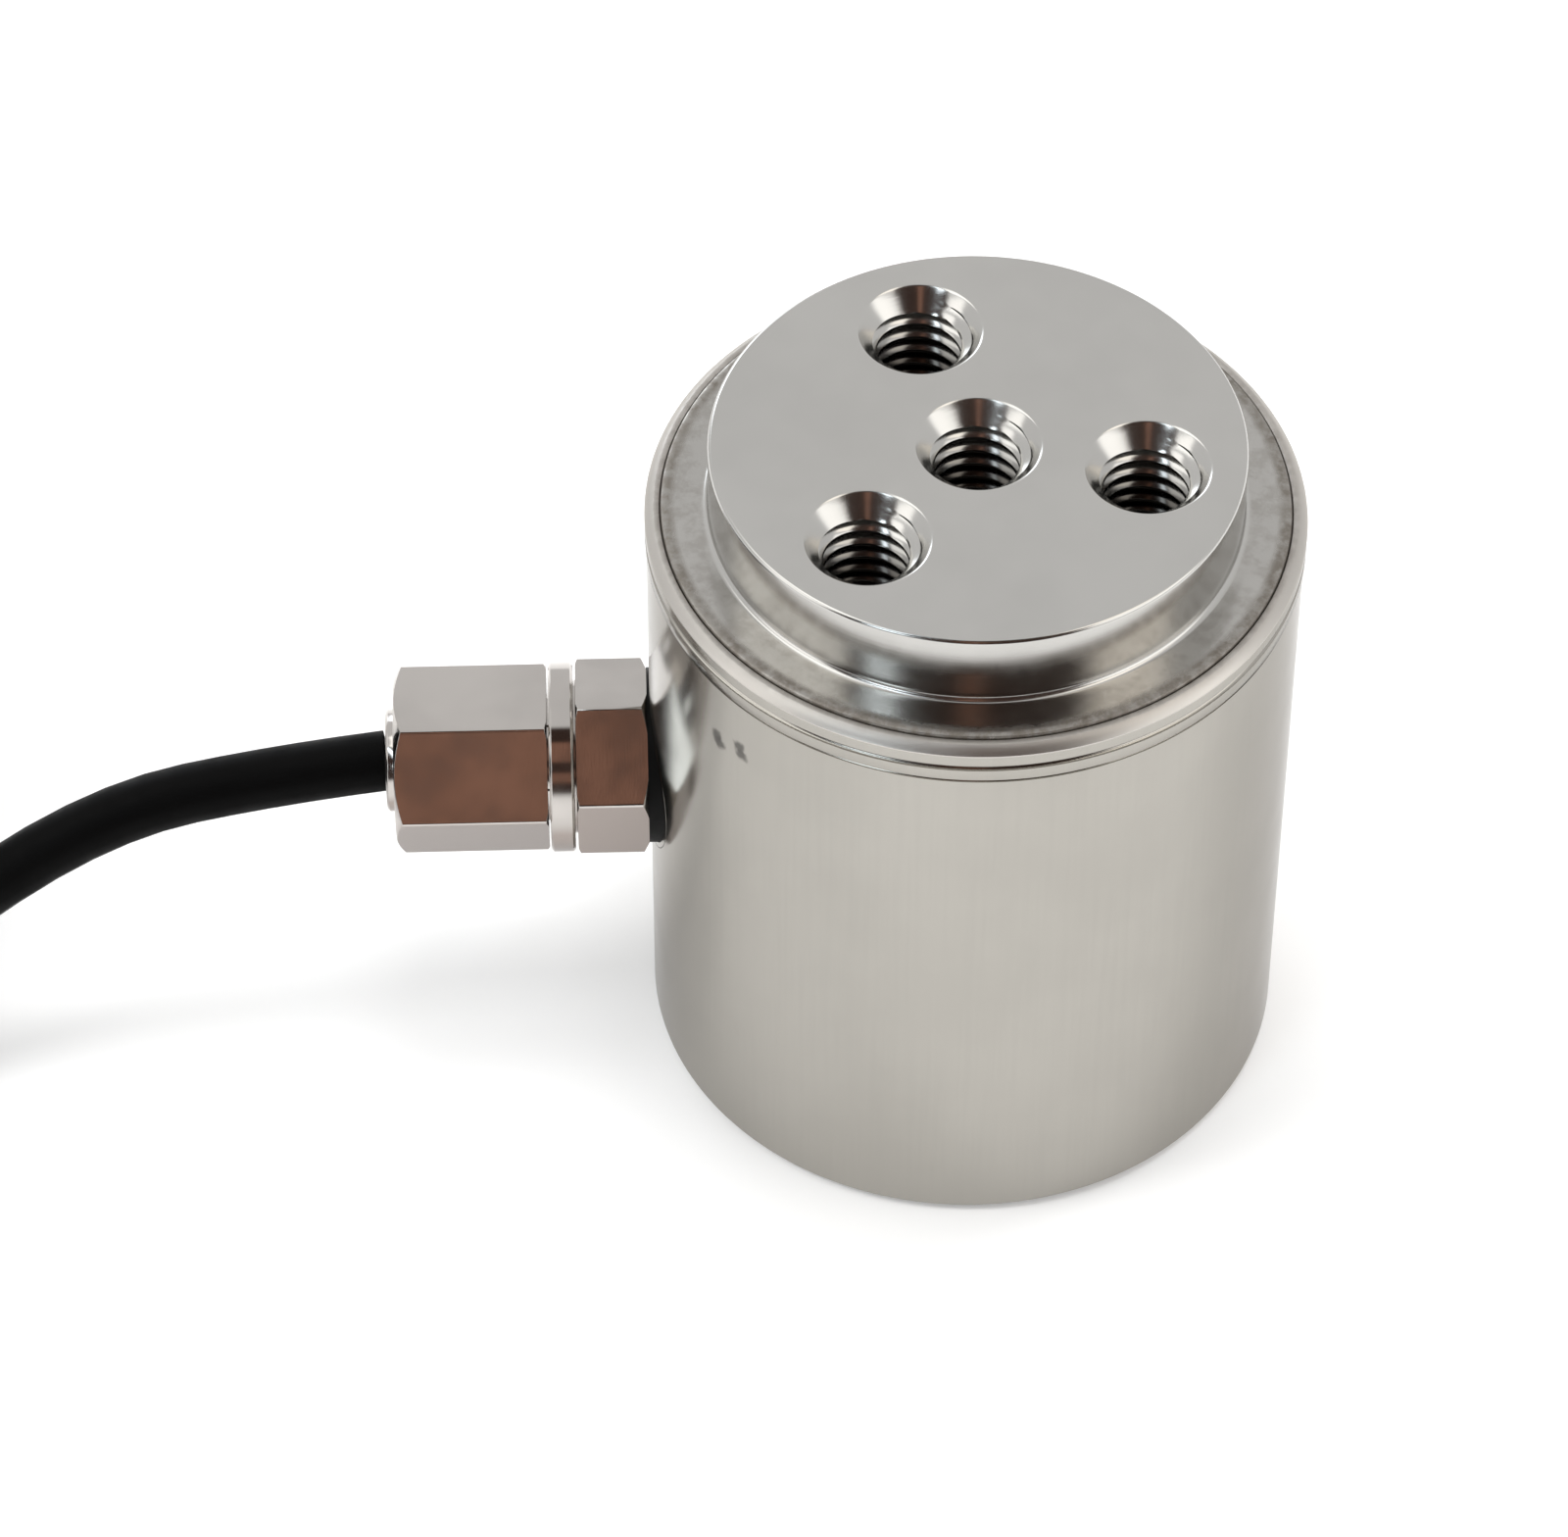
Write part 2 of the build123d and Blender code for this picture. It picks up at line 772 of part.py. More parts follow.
write("lead_tips", Compound([lead_tip(k) for k in range(len(core_names))]))
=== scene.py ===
"""Column load cell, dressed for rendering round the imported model. Metres, +Z up, gland towards -X."""

import json
import math

import bmesh
import bpy
from mathutils import Matrix, Vector


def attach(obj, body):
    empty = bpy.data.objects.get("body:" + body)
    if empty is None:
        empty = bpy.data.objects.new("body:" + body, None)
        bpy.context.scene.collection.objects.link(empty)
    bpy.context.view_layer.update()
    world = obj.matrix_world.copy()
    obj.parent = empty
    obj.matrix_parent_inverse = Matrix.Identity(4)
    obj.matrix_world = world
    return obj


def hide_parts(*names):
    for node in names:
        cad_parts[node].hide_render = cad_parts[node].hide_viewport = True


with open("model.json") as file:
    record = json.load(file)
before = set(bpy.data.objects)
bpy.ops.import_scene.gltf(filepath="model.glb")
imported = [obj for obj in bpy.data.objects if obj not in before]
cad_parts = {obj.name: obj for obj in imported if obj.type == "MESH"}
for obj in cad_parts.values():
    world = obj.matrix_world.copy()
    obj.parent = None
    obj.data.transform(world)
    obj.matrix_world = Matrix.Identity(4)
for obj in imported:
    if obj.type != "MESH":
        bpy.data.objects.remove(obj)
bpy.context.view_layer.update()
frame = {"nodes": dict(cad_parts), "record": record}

MM = 0.001
ROOT = "root"

# Sizes shared with the part's source, in millimetres
TOTAL_HEIGHT = 61.0
LEDGE = 54.8
HEAD_UNDERSIDE = 45.0
BASE_TOP = 12.0
BOSS_RADIUS = 20.2
FLANGE_RADIUS = 23.8
COLUMN_RADIUS = 10.0
COLUMN_FLAT = 9.0
FLAT_MARGIN = 3.0
SHELL_RADIUS = 24.9
SHELL_BORE = 23.85
SHELL_TOP = 54.55
SHELL_FOOT = 0.5
RIM_RADIUS = 25.0
RIM_BOTTOM = 51.15
HOLE_CIRCLE = 12.8
HOLE_ANGLE = 107.4
GLAND_HEIGHT = 26.9
GLAND_SEAT = 25.1
BUSH_RADIUS = 7.3
CABLE_RADIUS = 2.4
COIL_CENTRE = (-123.0, 8.5)
COIL_BOTTOM = 0.9
COIL_MID = 25.5


def mm(*values):
    """A point given in millimetres, as a vector in metres."""
    return Vector(values) * MM


def smooth_step(low, high, value):
    """0 below low, 1 above high, smooth between."""
    t = min(1.0, max(0.0, (value - low) / (high - low)))
    return t * t * (3 - 2 * t)


# Camera, from the fit to the circles in the photograph


def make_camera():
    pitch, roll, yaw = 0.846207, 0.001316, math.radians(1.8)
    data = bpy.data.cameras.new("photo_camera")
    data.sensor_width = 36.0
    data.lens = 157.62
    data.clip_start = 0.05
    camera = bpy.data.objects.new("photo_camera", data)
    bpy.context.scene.collection.objects.link(camera)
    level = Vector((math.sin(yaw), math.cos(yaw), 0))
    forward = level * math.cos(pitch) - Vector((0, 0, math.sin(pitch)))
    right = Vector((math.cos(yaw), -math.sin(yaw), 0))
    up = right.cross(forward)
    right, up = (
        right * math.cos(roll) + up * math.sin(roll),
        up * math.cos(roll) - right * math.sin(roll),
    )
    turn = Matrix((right, up, -forward)).transposed().to_4x4()
    camera.matrix_world = Matrix.Translation(mm(-25.66, -356.93, 428.31)) @ turn
    bpy.context.scene.camera = camera


make_camera()


# Node helpers


class Shader:
    """A material's node tree with short calls for the nodes used here."""

    def __init__(self, name):
        self.material = bpy.data.materials.new(name)
        self.material.use_nodes = True
        self.tree = self.material.node_tree
        self.bsdf = self.tree.nodes["Principled BSDF"]

    def add(self, kind, inputs=None, **settings):
        node = self.tree.nodes.new(kind)
        for key, value in settings.items():
            setattr(node, key, value)
        for key, value in (inputs or {}).items():
            if isinstance(value, bpy.types.NodeSocket):
                self.tree.links.new(value, node.inputs[key])
            else:
                node.inputs[key].default_value = value
        return node

    def math(self, operation, a, b=0.0):
        return self.add("ShaderNodeMath", {0: a, 1: b}, operation=operation).outputs[0]

    def noise(self, vector, scale, detail=3.0, roughness=0.5):
        inputs = {"Vector": vector, "Scale": scale, "Detail": detail, "Roughness": roughness}
        return self.add("ShaderNodeTexNoise", inputs).outputs["Fac"]

    def span(self, value, low, high, to_low=0.0, to_high=1.0):
        inputs = {0: value, 1: low, 2: high, 3: to_low, 4: to_high}
        node = self.add("ShaderNodeMapRange", inputs, interpolation_type="SMOOTHSTEP")
        return node.outputs[0]

    def bump(self, height, strength, distance, normal=None):
        inputs = {"Height": height, "Strength": strength, "Distance": distance}
        if normal is not None:
            inputs["Normal"] = normal
        return self.add("ShaderNodeBump", inputs).outputs["Normal"]

    def mix(self, factor, a, b):
        node = self.add("ShaderNodeMix", {0: factor}, data_type="RGBA")
        for index, value in ((6, a), (7, b)):
            if isinstance(value, bpy.types.NodeSocket):
                self.tree.links.new(value, node.inputs[index])
            else:
                node.inputs[index].default_value = (*value, 1.0)
        return node.outputs[2]

    def set(self, **values):
        names = {
            "colour": "Base Color",
            "rough": "Roughness",
            "metal": "Metallic",
            "normal": "Normal",
            "coat": "Coat Weight",
            "coat_rough": "Coat Roughness",
            "specular": "Specular IOR Level",
            "anisotropic": "Anisotropic",
            "tangent": "Tangent",
        }
        for key, value in values.items():
            socket = self.bsdf.inputs[names[key]]
            if isinstance(value, bpy.types.NodeSocket):
                self.tree.links.new(value, socket)
            elif key == "colour":
                socket.default_value = (*value, 1.0)
            else:
                socket.default_value = value
        return self.material

    def place(self):
        return self.add("ShaderNodeTexCoord").outputs["Object"]

    def round_axis(self, axis, centre):
        """Distance from an axis, angle round it and place along it, in millimetres and radians."""
        shifted = self.add(
            "ShaderNodeVectorMath",
            {0: self.place(), 1: tuple(c * MM for c in centre)},
            operation="SUBTRACT",
        ).outputs[0]
        parts = self.add("ShaderNodeSeparateXYZ", {0: shifted}).outputs
        names = {"Z": (0, 1, 2), "X": (1, 2, 0)}[axis]
        a, b, along = (self.math("MULTIPLY", parts[n], 1000.0) for n in names)
        radius = self.math("SQRT", self.math("ADD", self.math("MULTIPLY", a, a), self.math("MULTIPLY", b, b)))
        angle = self.math("ARCTAN2", b, a)
        return radius, angle, along


def turned_metal(name, colour, rough, axis="Z", centre=(0, 0, 0), marks=0.3, stain=0.1, spread=0.05):
    """Turned metal: fine rings round the axis, patches of slightly other gloss, faint stains."""
    s = Shader(name)
    radius, angle, along = s.round_axis(axis, centre)
    fine = s.add("ShaderNodeCombineXYZ", {0: radius, 1: s.math("MULTIPLY", angle, 0.35), 2: along})
    rings = s.noise(fine.outputs[0], 7.0, 4.0, 0.65)
    broad = s.noise(s.place(), 90.0, 3.0, 0.55)
    cloudy = s.noise(s.place(), 260.0, 2.0, 0.5)
    dark = tuple(c * (1 - stain) for c in colour)
    light = tuple(min(1.0, c * (1 + stain * 0.5)) for c in colour)
    base = s.mix(s.span(broad, 0.3, 0.7), dark, light)
    roughness = s.span(cloudy, 0.3, 0.7, rough - spread, rough + spread)
    normal = s.bump(rings, marks, 0.00002)
    s.set(colour=base, rough=roughness, metal=1.0, normal=normal)
    return s, (radius, angle, along), base, roughness


def zone(s, value, low, high, soft):
    """1 where a value lies between low and high, with soft edges."""
    inside = s.span(value, low - soft, low + soft)
    return s.math("MULTIPLY", inside, s.span(value, high - soft, high + soft, 1.0, 0.0))


def weld_stain(s, radius, angle, along, base, roughness, height):
    """A mottled brownish band where the shell is welded to the head, round the ledge's outer edge."""
    band = s.math("MULTIPLY", zone(s, radius, 22.9, 24.35, 0.35), zone(s, along, height - 0.6, height + 0.3, 0.05))
    spots = s.noise(s.place(), 900.0, 4.0, 0.7)
    band = s.math("MULTIPLY", band, s.span(spots, 0.3, 0.65, 0.35, 1.0))
    colour = s.mix(band, base, (0.19, 0.165, 0.14))
    rough = s.math("ADD", roughness, s.math("MULTIPLY", band, 0.28))
    return colour, rough


def spool_steel():
    """Ground and turned steel: stained ledge, painted shade that darkens the threads deeper inside the holes."""
    s, (radius, angle, along), base, roughness = turned_metal(
        "spool_steel", (0.53, 0.52, 0.50), 0.17, marks=0.12, stain=0.04, spread=0.02
    )
    base, roughness = weld_stain(s, radius, angle, along, base, roughness, LEDGE)
    ledge = s.math("MULTIPLY", zone(s, along, LEDGE - 0.4, LEDGE + 0.4, 0.05), s.span(radius, 20.4, 20.8))
    smudge = s.span(s.noise(s.place(), 420.0, 5.0, 0.7), 0.35, 0.7)
    base = s.mix(s.math("MULTIPLY", ledge, s.span(smudge, 0.0, 1.0, 0.25, 0.6)), base, (0.30, 0.28, 0.255))
    # Painted shade: the threads inside the holes darken towards near black with depth.
    inside = s.math("MULTIPLY", s.span(radius, 18.8, 19.2, 1.0, 0.0), s.span(along, 45.5, 46.5))
    depth = s.span(along, TOTAL_HEIGHT - 7.0, TOTAL_HEIGHT - 1.5, 1.0, 0.0)
    base = s.mix(s.math("MULTIPLY", inside, depth), base, (0.07, 0.065, 0.06))
    return s.set(colour=base, rough=roughness)


def shell_steel():
    """Drawn tube: faint streaks along the axis, a satin chamfer with a painted highlight, the weld's stain, two
    small dark marks.
    """
    s, (radius, angle, along), base, roughness = turned_metal(
        "shell_steel", (0.40, 0.382, 0.35), 0.17, marks=0.12, stain=0.03, spread=0.015
    )
    streak = s.add("ShaderNodeCombineXYZ", {0: s.math("MULTIPLY", angle, 30.0), 1: s.math("MULTIPLY", along, 0.03)})
    streaks = s.noise(streak.outputs[0], 1.6, 4.0, 0.6)
    base = s.mix(s.span(streaks, 0.35, 0.75, 0.0, 0.22), base, (0.35, 0.34, 0.31))
    ragged = s.math("MULTIPLY", s.noise(s.place(), 1500.0, 3.0, 0.6), 0.9)
    for turn, height in ((-143.1, 45.7), (-142.4, 45.1), (-137.5, 46.5), (-136.8, 45.8)):
        aside = s.math("MULTIPLY", s.math("SUBTRACT", angle, math.radians(turn)), SHELL_RADIUS)
        above = s.math("SUBTRACT", along, height)
        apart = s.math("SQRT", s.math("ADD", s.math("MULTIPLY", aside, aside), s.math("MULTIPLY", above, above)))
        mark = s.span(s.math("ADD", apart, ragged), 0.75, 1.25, 0.85, 0.0)
        base = s.mix(mark, base, (0.09, 0.085, 0.08))
    base, roughness = weld_stain(s, radius, angle, along, base, roughness, SHELL_TOP)
    # The rim's top and chamfer: rougher satin finish, and a painted highlight that lightens their colour.
    satin_and_painted_highlight = s.span(along, SHELL_TOP - 0.8, SHELL_TOP - 0.7)
    roughness = s.math("ADD", roughness, s.math("MULTIPLY", satin_and_painted_highlight, 0.2))
    base = s.mix(s.math("MULTIPLY", satin_and_painted_highlight, 0.6), base, (0.62, 0.59, 0.56))
    s.bsdf.inputs["Specular Tint"].default_value = (0.72, 0.71, 0.7, 1.0)
    return s.set(colour=base, rough=roughness)


def plastic(name, colour, rough, grain=400.0, depth=0.15, vary=0.12, coat=0.0, specular=0.5):
    """Moulded or extruded plastic and rubber with a fine grain."""
    s = Shader(name)
    fine = s.noise(s.place(), grain, 3.0, 0.6)
    broad = s.noise(s.place(), 70.0, 2.0, 0.5)
    dark = tuple(c * (1 - vary) for c in colour)
    light = tuple(min(1.0, c * (1 + vary)) for c in colour)
    base = s.mix(s.span(broad, 0.3, 0.7), dark, light)
    roughness = s.span(fine, 0.3, 0.7, rough - 0.06, rough + 0.06)
    normal = s.bump(fine, depth, 0.00005)
    return s.set(colour=base, rough=roughness, normal=normal, coat=coat, specular=specular)


def gland_plating():
    """Nickel plating, with painted shade that makes the faces that look down darker and browner."""
    s, _, base, roughness = turned_metal(
        "gland_plating", (0.54, 0.51, 0.485), 0.13, "X", (0, 0, GLAND_HEIGHT), marks=0.1
    )
    facing = s.add("ShaderNodeSeparateXYZ", {0: s.add("ShaderNodeNewGeometry").outputs["Normal"]}).outputs["Z"]
    # Painted shade: faces whose normal points downwards get a darker, browner colour.
    base = s.mix(s.span(facing, -0.15, 0.1, 1.0, 0.0), base, (0.365, 0.318, 0.293))
    return s.set(colour=base, rough=roughness)


MATERIALS = {
    "spool_steel": spool_steel(),
    "shell_steel": shell_steel(),
    "gland_plating": gland_plating(),
    "washer_steel": turned_metal("washer_steel", (0.5, 0.5, 0.5), 0.3, "X", (0, 0, GLAND_HEIGHT))[0].material,
    "seal_rubber": plastic("seal_rubber", (0.003, 0.003, 0.003), 0.5, specular=0.1),
    "cable_jacket": plastic("cable_jacket", (0.002, 0.002, 0.002), 0.5, specular=0.05),
    "tie_plastic": plastic("tie_plastic", (0.02, 0.02, 0.02), 0.45),
    "sleeve_plastic": plastic("sleeve_plastic", (0.015, 0.015, 0.015), 0.6),
    "insulation_red": plastic("insulation_red", (0.5, 0.02, 0.015), 0.35),
    "insulation_black": plastic("insulation_black", (0.015, 0.015, 0.015), 0.35),
    "insulation_green": plastic("insulation_green", (0.015, 0.2, 0.05), 0.35),
    "insulation_white": plastic("insulation_white", (0.7, 0.7, 0.67), 0.35),
    "tinned_copper": turned_metal("tinned_copper", (0.6, 0.6, 0.58), 0.25)[0].material,
    "gauge_foil": plastic("gauge_foil", (0.45, 0.24, 0.07), 0.3),
    "terminal_laminate": plastic("terminal_laminate", (0.5, 0.32, 0.14), 0.45),
    "fine_wire": plastic("fine_wire", (0.4, 0.11, 0.04), 0.3),
    "pad_plastic": plastic("pad_plastic", (0.08, 0.08, 0.08), 0.6),
    "board_laminate": plastic("board_laminate", (0.02, 0.17, 0.06), 0.35, coat=0.3),
    "resistor_body": plastic("resistor_body", (0.08, 0.22, 0.38), 0.25, coat=0.4),
}

for row in frame["record"]["subparts"]:
    node = frame["nodes"][row["node"]]
    node.data.materials.clear()
    node.data.materials.append(MATERIALS[row["material_slot"]])


# Mesh helpers


def finish_piece(name, bm, slot, *nodes, merge=True, sharp=32.0, weighted=True, bevel=0.0):
    """Turns a bmesh into a piece that rides on the root and stands for the named nodes."""
    if merge:
        bmesh.ops.remove_doubles(bm, verts=bm.verts, dist=1e-6)
    bmesh.ops.dissolve_degenerate(bm, edges=bm.edges, dist=1e-7)
    bmesh.ops.recalc_face_normals(bm, faces=bm.faces)
    mesh = bpy.data.meshes.new(name)
    bm.to_mesh(mesh)
    bm.free()
    for polygon in mesh.polygons:
        polygon.use_smooth = True
    piece = bpy.data.objects.new(name, mesh)
    bpy.context.scene.collection.objects.link(piece)
    mesh.materials.append(MATERIALS[slot])
    if bevel:
        modifier = piece.modifiers.new("edges", "BEVEL")
        modifier.limit_method = "ANGLE"
        modifier.angle_limit = math.radians(28)
        modifier.width = bevel * MM
        modifier.segments = 2
        apply_modifiers(piece)
    piece.data.set_sharp_from_angle(angle=math.radians(sharp))
    if weighted:
        modifier = piece.modifiers.new("flat_faces", "WEIGHTED_NORMAL")
        modifier.keep_sharp = True
        modifier.weight = 50
        apply_modifiers(piece)
    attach(piece, ROOT)
    if nodes:
        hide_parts(*nodes)
    return piece


def apply_modifiers(piece):
    """Replaces a piece's mesh by the one its modifiers give."""
    graph = bpy.context.evaluated_depsgraph_get()
    mesh = bpy.data.meshes.new_from_object(piece.evaluated_get(graph))
    old = piece.data
    piece.modifiers.clear()
    piece.data = mesh
    bpy.data.meshes.remove(old)


def add_rows(bm, rows, closed_rows=True, loop=False):
    """Quads between neighbouring rows of points. Every row has the same number of points."""
    made = [[bm.verts.new(p) for p in row] for row in rows]
    count = len(made[0])
    pairs = list(zip(made, made[1:])) + ([(made[-1], made[0])] if loop else [])
    for low, high in pairs:
        for n in range(count if closed_rows else count - 1):
            m = (n + 1) % count
            bm.faces.new((low[n], low[m], high[m], high[n]))
    return made


def circle(radius, height, count, centre=(0, 0)):
    """Points of a level circle, in metres, from sizes in millimetres."""
    turns = [2 * math.pi * n / count for n in range(count)]
    return [
        mm(centre[0] + radius * math.cos(a), centre[1] + radius * math.sin(a), height)
        for a in turns
    ]


def ring_edges(ring):
    """The edges that join a ring's vertices."""
    edges = []
    for a, b in zip(ring, ring[1:] + ring[:1]):
        edge = a.link_edges and next((e for e in a.link_edges if e.other_vert(a) is b), None)
        edges.append(edge)
    return edges


# Spool

THREAD_PITCH = 25.4 / 18
THREAD_DEPTH = 9.6
THREAD_TURN = 0.3
THREAD_ROOT = 3.97
SINK_RADIUS = 4.8
DRILL_RADIUS = 3.3
THREAD_PROFILE = (
    (0.0, 3.97),
    (0.06, 3.985),
    (0.125, 3.97),
    (0.28, 3.61),
    (0.41, 3.29),
    (0.46, 3.235),
    (0.565, 3.22),
    (0.665, 3.235),
    (0.715, 3.29),
    (0.845, 3.61),
)


def threaded_hole(bm, centre, opening, down, drill_depth, count, mouth):
    """A tapped hole's surface: mouth, right-hand thread and drill point. Returns its top ring.

    The mouth is given as (radius, depth) rows from the lowest up to the face.
    """
    sign = -1 if down else 1
    start_radius, start_depth = mouth[0]
    depth_end = min(THREAD_DEPTH, drill_depth - 1.2)

    def spot(radius, angle, depth):
        return mm(
            centre[0] + radius * math.cos(angle),
            centre[1] + radius * math.sin(angle),
            opening + sign * depth,
        )

    turns = int(depth_end / THREAD_PITCH) + 3
    rows = []
    for turn in range(-1, turns):
        for phase, profile_radius in THREAD_PROFILE:
            row = []
            for n in range(count + 1):
                angle = 2 * math.pi * n / count
                depth = (turn + phase + THREAD_TURN + sign * n / count) * THREAD_PITCH + start_depth
                opened = start_radius - (depth - start_depth)
                radius = max(profile_radius, opened)
                fade = smooth_step(depth_end - 1.5 * THREAD_PITCH, depth_end, depth)
                radius += (DRILL_RADIUS - radius) * fade
                if depth <= start_depth:
                    depth, radius = start_depth, start_radius
                if depth >= depth_end:
                    depth, radius = depth_end, DRILL_RADIUS
                row.append(spot(radius, angle, depth))
            rows.append(row)
    grid = [[bm.verts.new(p) for p in row] for row in rows]
    for low, high in zip(grid, grid[1:]):
        for n in range(count):
            corners = (low[n], low[n + 1], high[n + 1], high[n])
            if len({tuple(round(c, 8) for c in v.co) for v in corners}) >= 3:
                bm.faces.new(corners)
    point = DRILL_RADIUS / math.tan(math.radians(59))
    low_rows = [
        [spot(r, 2 * math.pi * n / count, d) for n in range(count)]
        for r, d in (
            (DRILL_RADIUS, depth_end),
            (DRILL_RADIUS, drill_depth),
            (0.02, drill_depth + point),
        )
    ]
    made = add_rows(bm, low_rows)
    bm.faces.new(made[-1])
    mouth_rows = [[spot(r, 2 * math.pi * n / count, d) for n in range(count)] for r, d in mouth]
    return add_rows(bm, mouth_rows)[-1]


TOP_MOUTH = (
    (SINK_RADIUS - 0.5, 0.5),
    (SINK_RADIUS - 0.139, 0.141),
    (SINK_RADIUS - 0.065, 0.08),
    (SINK_RADIUS + 0.02, 0.036),
    (SINK_RADIUS + 0.108, 0.009),
    (SINK_RADIUS + 0.2, 0.0),
)
BASE_MOUTH = ((THREAD_ROOT, 0.12), (THREAD_ROOT + 0.08, 0.03), (THREAD_ROOT + 0.14, 0.0))


def arc(centre, radius, start, end, steps):
    """Points of an arc in the half plane of radius and height, angles in degrees."""
    return [
        (
            centre[0] + radius * math.cos(math.radians(start + (end - start) * n / steps)),
            centre[1] + radius * math.sin(math.radians(start + (end - start) * n / steps)),
        )
        for n in range(steps + 1)
    ]


def hole_places():
    turns = [math.radians(HOLE_ANGLE + 120 * k) for k in range(3)]
    return [(0.0, 0.0)] + [(HOLE_CIRCLE * math.cos(a), HOLE_CIRCLE * math.sin(a)) for a in turns]


def column_row(radius, height, count):
    """A circle of the column's radius, cut by its four flats."""
    row = []
    for n in range(count):
        a = 2 * math.pi * n / count
        nearest = abs((a + math.pi / 4) % (math.pi / 2) - math.pi / 4)
        r = min(radius, COLUMN_FLAT / math.cos(nearest))
        row.append(mm(r * math.cos(a), r * math.sin(a), height))
    return row


def make_spool():
    count = 256
    bm = bmesh.new()
    top = arc((19.85, 60.65), 0.35, 90, 0, 6)
    wall = [(20.2, 59.0), (20.2, 57.0), (20.2, 55.7)]
    foot = arc((20.7, 55.3), 0.5, 180, 270, 8)
    ledge = [(21.2, 54.8), (22.2, 54.8), (23.2, 54.8), (23.55, 54.79), (23.72, 54.72), (23.8, 54.58), (23.82, 54.4)]
    under = [(23.8, 49.0), (23.8, 45.0), (12.0, 45.0)] + arc((12.0, 43.0), 2.0, 90, 180, 8)[1:]
    outline = top + wall + foot + ledge + under
    rows = [circle(r, z, count) for r, z in outline]
    flat_top = HEAD_UNDERSIDE - FLAT_MARGIN
    flat_bottom = BASE_TOP + FLAT_MARGIN
    rows += [circle(COLUMN_RADIUS, flat_top, count), column_row(COLUMN_RADIUS, flat_top, count)]
    rows += [column_row(COLUMN_RADIUS, flat_bottom, count), circle(COLUMN_RADIUS, flat_bottom, count)]
    low = arc((12.0, 14.0), 2.0, 180, 270, 8)
    low += [(23.8, 12.0), (23.8, 0.4), (23.4, 0.0)]
    rows += [circle(r, z, count) for r, z in low]
    made = add_rows(bm, rows)
    top_edges = ring_edges(made[0])
    bottom_edges = ring_edges(made[-1])
    for place in hole_places():
        mouth = threaded_hole(bm, place, TOTAL_HEIGHT, True, 12.0, 96, TOP_MOUTH)
        top_edges += ring_edges(mouth)
        mouth = threaded_hole(bm, place, 0.0, False, 9.0, 48, BASE_MOUTH)
        bottom_edges += ring_edges(mouth)
    for edges in (top_edges, bottom_edges):
        bmesh.ops.triangle_fill(bm, use_beauty=True, use_dissolve=False, edges=edges)
    return finish_piece("spool", bm, "spool_steel", "elastic_element")


make_spool()


# Shell


def make_shell():
    count = 320
    bm = bmesh.new()
    rim = [
        (23.9, 54.52),
        (24.0, 54.56),
        (24.28, 54.55),
        (24.35, 54.53),
        (24.94, 53.96),
        (24.99, 53.9),
        (25.0, 53.82),
        (25.0, 53.02),
    ]
    groove = arc((25.0, 52.65), 0.32, 90, 270, 8)
    bead = [(25.0, 52.28), (25.0, 51.35), (24.96, 51.27)]
    seam = arc((24.9, 51.15), 0.16, 60, 270, 6)
    wall = [(24.9, 50.9), (24.9, 40.0), (24.9, 27.0), (24.9, 12.0), (24.9, 1.2), (24.9, 0.78)]
    foot = [(24.87, 0.7), (24.7, 0.53), (24.6, 0.5), (23.85, 0.5)]
    bore = [(23.85, 27.0), (23.85, 54.35), (23.86, 54.45)]
    rows = [circle(r, z, count) for r, z in rim + groove + bead + seam + wall + foot + bore]
    add_rows(bm, rows, loop=True)
    shell = finish_piece("shell", bm, "shell_steel", "outer_shell")
    cut_port(shell)
    round_wall_normals(shell)
    return shell


def cut_port(shell):
    """Cuts the round port of the entry bush through the shell's wall."""
    bm = bmesh.new()
    turns = [2 * math.pi * n / 96 for n in range(96)]
    radius = BUSH_RADIUS + 0.05
    rows = [
        [mm(x, radius * math.cos(a), GLAND_HEIGHT + radius * math.sin(a)) for a in turns]
        for x in (-19.0, -27.0)
    ]
    made = add_rows(bm, rows)
    bm.faces.new(made[0])
    bm.faces.new(made[1])
    bmesh.ops.recalc_face_normals(bm, faces=bm.faces)
    mesh = bpy.data.meshes.new("port_cutter")
    bm.to_mesh(mesh)
    bm.free()
    cutter = bpy.data.objects.new("port_cutter", mesh)
    bpy.context.scene.collection.objects.link(cutter)
    modifier = shell.modifiers.new("port", "BOOLEAN")
    modifier.operation = "DIFFERENCE"
    modifier.object = cutter
    apply_modifiers(shell)
    bpy.data.objects.remove(cutter)
    bpy.data.meshes.remove(mesh)


def round_wall_normals(shell):
    """Gives the shell's outer wall the normals of a true cylinder, so that the port's cut doesn't show."""
    mesh = shell.data
    normals = [corner.vector.copy() for corner in mesh.corner_normals]
    for face in mesh.polygons:
        middle = Vector((face.center.x, face.center.y, 0)).normalized()
        if face.normal.dot(middle) < 0.98:
            continue
        for n in face.loop_indices:
            spot = mesh.vertices[mesh.loops[n].vertex_index].co
            if abs(math.hypot(spot.x, spot.y) - SHELL_RADIUS * MM) < 0.03 * MM:
                normals[n] = Vector((spot.x, spot.y, 0)).normalized()
    mesh.normals_split_custom_set(normals)


make_shell()


# Gland: its own frame has s outward along the cable, u to the front and v up


def gland_point(u, v, s):
    return mm(-GLAND_SEAT - s, -u, GLAND_HEIGHT + v)


